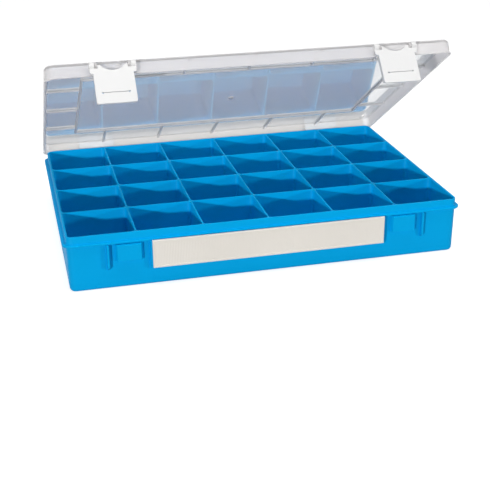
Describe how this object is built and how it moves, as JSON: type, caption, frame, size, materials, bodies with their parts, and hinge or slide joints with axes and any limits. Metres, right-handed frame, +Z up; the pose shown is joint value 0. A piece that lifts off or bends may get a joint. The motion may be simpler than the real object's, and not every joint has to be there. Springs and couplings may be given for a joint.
{
  "type": "compartment storage box",
  "caption": "Flat lidded case with a grid of moulded compartments, a hinged clear lid with snap latches and a strap handle on its front.",
  "frame": {"origin": "middle of the tray's underside, on the surface it stands on", "axes": "+X to the right along the front, +Y to the back where the hinges are, +Z up"},
  "size_m": [0.3456, 0.2462, 0.18],
  "materials": {
    "tray": "satin moulded",
    "lid": "clear, lightly frosted",
    "clip": "natural, translucent white",
    "strap": "fine vertical lines"
  },
  "bodies": {
    "tray": {"tray": "tray"},
    "lid": {"lid": "lid", "hinge_leaf_left": "clip", "hinge_leaf_right": "clip"},
    "latch_left": {"latch_left": "clip"},
    "latch_right": {"latch_right": "clip"},
    "handle_strap": {"handle_strap": "strap"},
    "handle_shoe_left": {"handle_shoe_left": "strap"},
    "handle_shoe_right": {"handle_shoe_right": "strap"}
  },
  "joints": [
    {"name": "lid_hinge", "type": "hinge", "parent": "tray", "child": "lid", "pos_m": [0, 0.1181, 0.0395], "axis": [-1, 0, 0], "range_deg": [-33, 80]},
    {"name": "latch_left_pivot", "type": "hinge", "parent": "lid", "child": "latch_left", "pos_m": [-0.1188, -0.07453, 0.17711], "axis": [-1, 0, 0], "range_deg": [-8.8, 86]},
    {"name": "latch_right_pivot", "type": "hinge", "parent": "lid", "child": "latch_right", "pos_m": [0.1188, -0.07453, 0.17711], "axis": [-1, 0, 0], "range_deg": [-8.8, 86]},
    {"name": "handle_pull", "type": "slide", "parent": "tray", "child": "handle_strap", "axis": [0, -1, 0], "range_m": [0, 0.038], "stiffness_N_per_m": 60},
    {"name": "handle_shoe_left_slide", "type": "slide", "parent": "handle_strap", "child": "handle_shoe_left", "axis": [0.2425, 0.9701, 0], "range_m": [0, 0.03927]},
    {"name": "handle_shoe_right_slide", "type": "slide", "parent": "handle_strap", "child": "handle_shoe_right", "axis": [-0.2425, 0.9701, 0], "range_m": [0, 0.03927]}
  ],
  "couplings": [
    {"joint": "handle_shoe_left_slide", "follows": "handle_pull", "ratio": 1.0308},
    {"joint": "handle_shoe_right_slide", "follows": "handle_pull", "ratio": 1.0308}
  ]
}
